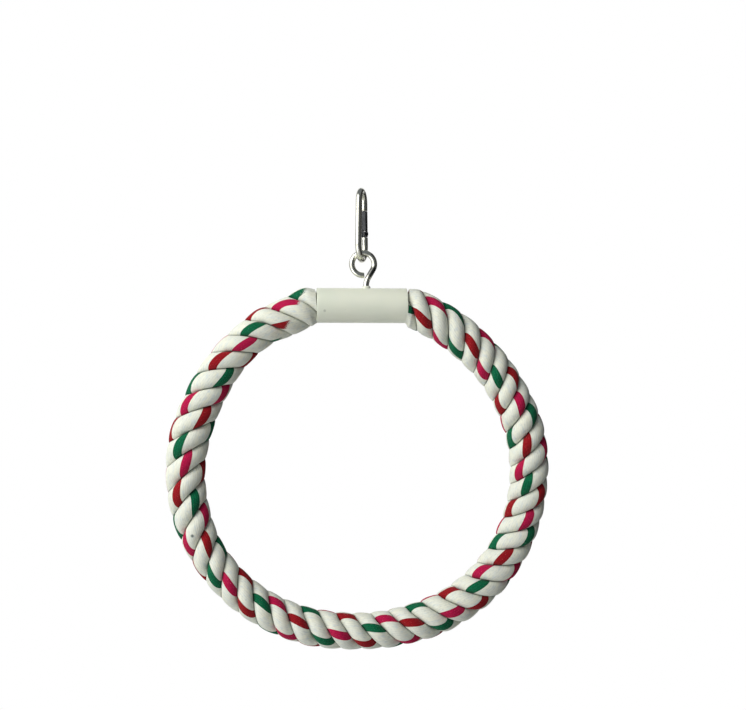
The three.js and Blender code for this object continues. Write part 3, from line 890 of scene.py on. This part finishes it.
def stain_spot(tree, place, radius):
    """1 within a small soft spot on the object's front, fading slowly with depth."""
    point = stretched(tree, object_place(tree), (1.0, STAIN_DEPTH_SHARE, 1.0))
    middle = (place[0], STAIN_DEPTH_SHARE * place[1], place[2])
    away = node(tree, "ShaderNodeVectorMath", {0: point, 1: middle}, operation="DISTANCE")
    return fade(tree, away.outputs["Value"], 0.5 * radius, 1.3 * radius, 1.0, 0.0)


def cotton_material(colour):
    """Undyed cotton strand with one dyed yarn."""
    material, tree, surface = new_material("cotton_" + colour)
    phase = named_value(tree, "yarn_phase")
    place = named_value(tree, "yarn_place", "Vector")
    groove = named_value(tree, "groove")
    fray = named_value(tree, "fray")
    dyed = use_group(tree, COLOURED_YARN, {
        "Phase": phase, "Place": place, "Half Width": YARN_HALF_WIDTH / YARN_REPEAT,
    })
    spun = use_group(tree, SPUN_YARN, {"Phase": phase, "Place": place})
    warm = cloud(tree, stretched(tree, place, (0.12, 0.25, 1.0)), 1.0)
    cool = cloud(tree, stretched(tree, place, (0.30, 0.55, 3.0)), 1.0)
    undyed = blend_colours(tree, fade(tree, warm, 0.42, 0.66), CREAM, CREAM_WARM)
    undyed = blend_colours(tree, fade(tree, cool, 0.50, 0.72), undyed, CREAM_COOL)
    # Painted shade between the yarns
    between = maths(tree, "MULTIPLY", spun["Between"], 0.30)
    undyed = blend_colours(tree, between, undyed, SHADE_BETWEEN_YARNS)
    mottle = cloud(tree, stretched(tree, place, (0.55, 1.1, 1.0)), 1.0, 5.0, 0.62)
    undyed = blend_colours(tree, fade(tree, mottle, 0.48, 0.72, 0.0, 0.55), undyed, MOTTLE)
    spot = stain_spot(tree, STRAND_STAIN, 0.9 * MM)
    undyed = blend_colours(tree, spot, undyed, STRAND_STAIN_COLOUR)
    lit_dye, shaded_dye = YARN_COLOURS[colour]
    # Painted shade: the dye's shaded copy goes between the yarns, and also in random patches of low fibre
    depth = maths(tree, "MULTIPLY_ADD", spun["Between"], 0.5, fade(tree, spun["Fibres"], 0.65, 0.3))
    thread = blend_colours(tree, maths(tree, "MINIMUM", depth, 1.0), lit_dye, shaded_dye)
    cover = fade(tree, maths(tree, "MULTIPLY_ADD", spun["Fibres"], 2.4, fray), 1.5, 1.9)
    dyed_mask = maths(tree, "MULTIPLY", dyed["Mask"], maths(tree, "SUBTRACT", 1.0, cover))
    cloth = blend_colours(tree, dyed_mask, undyed, thread)
    # Painted shade in the grooves between strands, weaker by the frayed mouths
    deepest_groove_shade = fade(tree, fray, 0.0, 1.0, OPEN_GROOVE_SHADE, FRAYED_GROOVE_SHADE)
    shade = maths(tree, "MULTIPLY", fade(tree, groove, 0.45, 1.0), deepest_groove_shade)
    cloth = blend_colours(tree, shade, cloth, GROOVE_SHADE, "MULTIPLY")
    link(tree, surface.inputs["Base Color"], cloth)
    surface.inputs["Roughness"].default_value = 0.92
    surface.inputs["Specular IOR Level"].default_value = 0.12
    surface.inputs["Sheen Weight"].default_value = 0.04
    surface.inputs["Sheen Roughness"].default_value = 0.6
    add_bump(tree, surface, 0.6, 0.16 * MM, spun["Height"])
    return material


def wear_group():
    """Polishing marks and faint stains on plated wire."""
    group, given, out = effect_group(
        "plate_wear",
        [("Place", "vector", None), ("Fineness", "value", 600.0)],
        [("Marks", "value"), ("Stain", "value")],
    )
    marks = cloud(group, stretched(group, given["Place"], (1.0, 1.0, 0.15)), given["Fineness"], 4.0, 0.65)
    stain = cloud(group, given["Place"], 160.0, 3.0)
    link(group, out["Marks"], marks)
    link(group, out["Stain"], fade(group, stain, 0.45, 0.75))
    return group


PLATE_WEAR = wear_group()
# Near-black steel colour for painted shade on the clip and a painted dark reflection on the eye
PAINTED_DARK_COLOUR = (0.035, 0.036, 0.038, 1)


def plated_material(name, colour, stained, low_rough, high_rough, scratch):
    """Plated or drawn steel wire, with painted shade and a painted dark reflection where painted_dark says.
    """
    material, tree, surface = new_material(name)
    wear = use_group(tree, PLATE_WEAR, {"Place": object_place(tree)})
    plate = blend_colours(tree, wear["Stain"], colour, stained)
    plate = blend_colours(tree, named_value(tree, "painted_dark"), plate, PAINTED_DARK_COLOUR)
    link(tree, surface.inputs["Base Color"], plate)
    link(tree, surface.inputs["Roughness"], fade(tree, wear["Marks"], 0.3, 0.7, low_rough, high_rough))
    surface.inputs["Metallic"].default_value = 1.0
    add_bump(tree, surface, scratch, 0.02 * MM, wear["Marks"])
    return material


IVORY = (0.80, 0.82, 0.69, 1)
IVORY_DULL = (0.765, 0.80, 0.67, 1)
IVORY_SPECK = (0.30, 0.31, 0.27, 1)


def ivory_material():
    """Ivory plastic tube with a satin skin, faint drawing lines along it and a few specks."""
    material, tree, surface = new_material("ivory_plastic")
    place = object_place(tree)
    lines = cloud(tree, stretched(tree, place, (40.0, 900.0, 900.0)), 1.0, 3.0)
    patches = cloud(tree, place, 70.0, 2.0)
    specks = node(tree, "ShaderNodeTexVoronoi", {"Scale": 260.0, "Vector": place}, feature="F1")
    speckled = fade(tree, specks.outputs["Distance"], 0.045, 0.02, 0.0, 0.5)
    colour = blend_colours(tree, fade(tree, patches, 0.35, 0.7), IVORY, IVORY_DULL)
    colour = blend_colours(tree, speckled, colour, IVORY_SPECK)
    spot = maths(tree, "MULTIPLY", stain_spot(tree, SLEEVE_STAIN, 0.75 * MM), 0.45)
    colour = blend_colours(tree, spot, colour, SLEEVE_STAIN_COLOUR)
    link(tree, surface.inputs["Base Color"], colour)
    link(tree, surface.inputs["Roughness"], fade(tree, lines, 0.3, 0.7, 0.30, 0.42))
    surface.inputs["IOR"].default_value = 1.49
    surface.inputs["Subsurface Weight"].default_value = 0.08
    surface.inputs["Subsurface Radius"].default_value = (0.002, 0.002, 0.0012)
    surface.inputs["Subsurface Scale"].default_value = 1.0
    add_bump(tree, surface, 0.12, 0.05 * MM, lines)
    return material


def beech_material():
    """Turned beech: grain along the dowel with short dark flecks."""
    material, tree, surface = new_material("beech_wood")
    place = object_place(tree)
    grain = cloud(tree, stretched(tree, place, (60.0, 900.0, 900.0)), 1.0, 4.0)
    flecks = cloud(tree, stretched(tree, place, (500.0, 2500.0, 2500.0)), 1.0, 2.0)
    colour = blend_colours(tree, grain, (0.62, 0.43, 0.25, 1), (0.47, 0.30, 0.16, 1))
    colour = blend_colours(tree, fade(tree, flecks, 0.62, 0.75, 0.0, 0.6), colour, (0.26, 0.15, 0.08, 1))
    link(tree, surface.inputs["Base Color"], colour)
    link(tree, surface.inputs["Roughness"], fade(tree, grain, 0.3, 0.7, 0.6, 0.8))
    add_bump(tree, surface, 0.4, 0.08 * MM, grain)
    return material


def tape_material():
    """Woven whipping tape."""
    material, tree, surface = new_material("cloth_tape")
    place = object_place(tree)
    settings = {"Scale": 1100.0, "Distortion": 0.4, "Vector": place}
    warp = node(tree, "ShaderNodeTexWave", settings, bands_direction="X").outputs["Fac"]
    weft = node(tree, "ShaderNodeTexWave", settings, bands_direction="Z").outputs["Fac"]
    weave = maths(tree, "MULTIPLY", warp, weft)
    cloth = blend_colours(tree, weave, (0.60, 0.57, 0.45, 1), (0.78, 0.75, 0.63, 1))
    link(tree, surface.inputs["Base Color"], cloth)
    surface.inputs["Roughness"].default_value = 0.88
    add_bump(tree, surface, 0.5, 0.1 * MM, weave)
    return material


def dress(piece, material):
    """Gives a piece one material for all its faces."""
    piece.data.materials.clear()
    piece.data.materials.append(material)


# Camera
camera_data = bpy.data.cameras.new("camera")
camera = bpy.data.objects.new("camera", camera_data)
bpy.context.scene.collection.objects.link(camera)
bpy.context.scene.camera = camera
PICTURE_WIDTH = 746
PIXEL_SIZE = 0.5333 * MM
PLANE_WIDTH = PICTURE_WIDTH * PIXEL_SIZE
AIM = Vector((6.1, 0, -85.65)) * MM
AZIMUTH = math.radians(-5)
camera_data.lens = 50
camera_data.sensor_width = 36
distance = PLANE_WIDTH * camera_data.lens / camera_data.sensor_width
back = Vector((math.sin(AZIMUTH), -math.cos(AZIMUTH), 0))
camera.location = AIM + back * distance
camera.rotation_mode = "QUATERNION"
camera.rotation_quaternion = back.to_track_quat("Z", "Y")
camera_data.clip_start = 0.01
camera_data.clip_end = 20


# Rope
stations = rope_stations()
for number, (colour, yarn_start) in enumerate(STRAND_YARNS.items()):
    own_slip = GREEN_SLIP if colour == "green" else NO_SLIP
    strand = strand_mesh("strand_" + colour, number, yarn_start, own_slip, stations)
    dress(strand, cotton_material(colour))
    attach(strand, "ring")
    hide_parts("rope_ring")


# Metal
NICKEL = (0.70, 0.695, 0.62, 1)
NICKEL_STAINED = (0.58, 0.565, 0.48, 1)
DARK_STEEL = (0.055, 0.058, 0.062, 1)
DARK_STEEL_STAINED = (0.036, 0.037, 0.040, 1)
DRAWN_STEEL = (0.50, 0.50, 0.48, 1)
DRAWN_STEEL_STAINED = (0.38, 0.37, 0.34, 1)
nickel = plated_material("nickel_plate", NICKEL, NICKEL_STAINED, 0.12, 0.22, 0.05)
dark_steel = plated_material("gate_steel", DARK_STEEL, DARK_STEEL_STAINED, 0.30, 0.38, 0.05)
drawn_steel = plated_material("spring_steel", DRAWN_STEEL, DRAWN_STEEL_STAINED, 0.25, 0.4, 0.3)

clip = clip_body()
dress(clip, nickel)
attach(clip, "clip")
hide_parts("clip_body")

eye = screw_eye()
dress(eye, nickel)
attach(eye, "ring")
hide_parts("screw_eye")


# Sleeve
ivory = ivory_material()
sleeve = sleeve_tube()
dress(sleeve, ivory)
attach(sleeve, "ring")
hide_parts("joint_sleeve")
burr = sleeve_burr()
dress(burr, ivory)
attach(burr, "ring")


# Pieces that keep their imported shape
def keep_node(name, material):
    """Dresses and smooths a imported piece, with its shape left as it is."""
    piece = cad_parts[name]
    dress(piece, material)
    work = bmesh.new()
    work.from_mesh(piece.data)
    smooth_between_creases(work)
    work.to_mesh(piece.data)
    work.free()


beech = beech_material()
tape = tape_material()
keep_node("clip_gate", dark_steel)
keep_node("gate_rivet", dark_steel)
keep_node("gate_plunger", drawn_steel)
keep_node("gate_spring", drawn_steel)
keep_node("core_wire", drawn_steel)
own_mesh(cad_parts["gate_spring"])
keep_node("joint_dowel", beech)
keep_node("end_tape_left", tape)
keep_node("end_tape_right", tape)


# Floor, backdrop and light
FLOOR_Z = -0.74
WALL_Y = 0.95
PAPER = (0.86, 0.86, 0.85, 1)
PAPER_LIGHT = (0.88, 0.88, 0.87, 1)
PAPER_ROUGHNESS = 0.9


def sweep_material():
    """White to the camera and in reflections, plain pale paint to every other ray."""
    material, tree, surface = new_material("backdrop_paper")
    surface.inputs["Base Color"].default_value = PAPER
    surface.inputs["Roughness"].default_value = PAPER_ROUGHNESS
    rays = node(tree, "ShaderNodeLightPath").outputs
    seen = maths(tree, "MAXIMUM", rays["Is Camera Ray"], rays["Is Glossy Ray"])
    seen = maths(tree, "MAXIMUM", seen, rays["Is Transmission Ray"])
    white = node(tree, "ShaderNodeEmission", {"Color": (1, 1, 1, 1), "Strength": 1.0})
    mix = node(tree, "ShaderNodeMixShader", {0: seen})
    tree.links.new(surface.outputs[0], mix.inputs[1])
    tree.links.new(white.outputs[0], mix.inputs[2])
    tree.links.new(mix.outputs[0], tree.nodes["Material Output"].inputs["Surface"])
    return material


def paper_material():
    material, tree, surface = new_material("floor_paper")
    place = object_place(tree)
    tone = cloud(tree, place, 300.0, 2.0)
    link(tree, surface.inputs["Base Color"], blend_colours(tree, tone, PAPER, PAPER_LIGHT))
    surface.inputs["Roughness"].default_value = PAPER_ROUGHNESS
    return material


def flat_sheet(name, corners, material):
    mesh = bpy.data.meshes.new(name)
    mesh.from_pydata([Vector(c) for c in corners], [], [(0, 1, 2, 3)])
    sheet = bpy.data.objects.new(name, mesh)
    bpy.context.scene.collection.objects.link(sheet)
    dress(sheet, material)
    return sheet


flat_sheet(
    "floor",
    [(-2, -2, FLOOR_Z), (2, -2, FLOOR_Z), (2, WALL_Y, FLOOR_Z), (-2, WALL_Y, FLOOR_Z)],
    paper_material(),
)
flat_sheet(
    "backdrop",
    [(-1.6, WALL_Y, FLOOR_Z), (1.6, WALL_Y, FLOOR_Z), (1.6, WALL_Y, 0.9), (-1.6, WALL_Y, 0.9)],
    sweep_material(),
)


def area_lamp(name, place, target, width, height, power, colour):
    data = bpy.data.lights.new(name, "AREA")
    data.shape = "RECTANGLE"
    data.size, data.size_y = width, height
    data.energy = power
    data.color = colour
    lamp = bpy.data.objects.new(name, data)
    bpy.context.scene.collection.objects.link(lamp)
    lamp.location = place
    lamp.rotation_mode = "QUATERNION"
    lamp.rotation_quaternion = (Vector(place) - Vector(target)).to_track_quat("Z", "Y")
    return lamp


MIDDLE = (0, 0, -0.12)
area_lamp("key", (-0.70, -0.53, 0.39), MIDDLE, 1.14, 0.93, 11.4, (1.0, 0.985, 0.95))
area_lamp("low_fill", (-0.62, -0.50, -0.52), MIDDLE, 0.6, 0.5, 1.2, (0.95, 0.98, 1.0))
area_lamp("top_fill", (-0.45, -0.40, 0.62), MIDDLE, 0.8, 0.45, 1.3, (0.96, 0.99, 1.0))
back_fill = area_lamp("back_fill", (-0.38, 0.80, 0.35), MIDDLE, 1.0, 0.8, 2.4, (0.98, 0.99, 1.0))
back_fill.visible_camera = False
back_fill.visible_glossy = False

# A white card low on the left that only the metal's reflections see
card_white, _, card_surface = new_material("card_white")
card_surface.inputs["Base Color"].default_value = (0.8, 0.8, 0.78, 1)
card_surface.inputs["Emission Color"].default_value = (1.0, 0.99, 0.95, 1)
card_surface.inputs["Emission Strength"].default_value = 1.3
low_card = flat_sheet(
    "low_card",
    [(-1.1, 0.0, -0.7), (-0.3, -0.9, -0.7), (-0.5, -1.1, -0.05), (-1.3, -0.2, -0.05)],
    card_white,
)
low_card.visible_camera = False
low_card.visible_diffuse = False
low_card.visible_shadow = False

# A dark card on the right, for the dark side of the metal's reflections
dark_paper, _, dark_surface = new_material("dark_paper")
dark_surface.inputs["Base Color"].default_value = (0.02, 0.02, 0.02, 1)
dark_card = flat_sheet(
    "dark_card",
    [(0.5, -0.9, -0.6), (0.5, 0.93, -0.6), (0.5, 0.93, 0.6), (0.5, -0.9, 0.6)],
    dark_paper,
)
dark_card.visible_camera = False

# Weak bluish light from all round, which the camera sees as plain white
WORLD_LIGHT = 0.22
SOFT_BLUE = (0.86, 0.93, 1.0, 1)
PLAIN_WHITE = (1.0, 1.0, 1.0, 1)
world = bpy.data.worlds.new("studio")
bpy.context.scene.world = world
world.use_nodes = True
sky = world.node_tree
seen_directly = node(sky, "ShaderNodeLightPath").outputs["Is Camera Ray"]
surround = sky.nodes["Background"].inputs
link(sky, surround["Color"], blend_colours(sky, seen_directly, SOFT_BLUE, PLAIN_WHITE))
strength = maths(sky, "MULTIPLY_ADD", seen_directly, 1 - WORLD_LIGHT, WORLD_LIGHT)
link(sky, surround["Strength"], strength)

bpy.context.scene.view_settings.view_transform = "Standard"
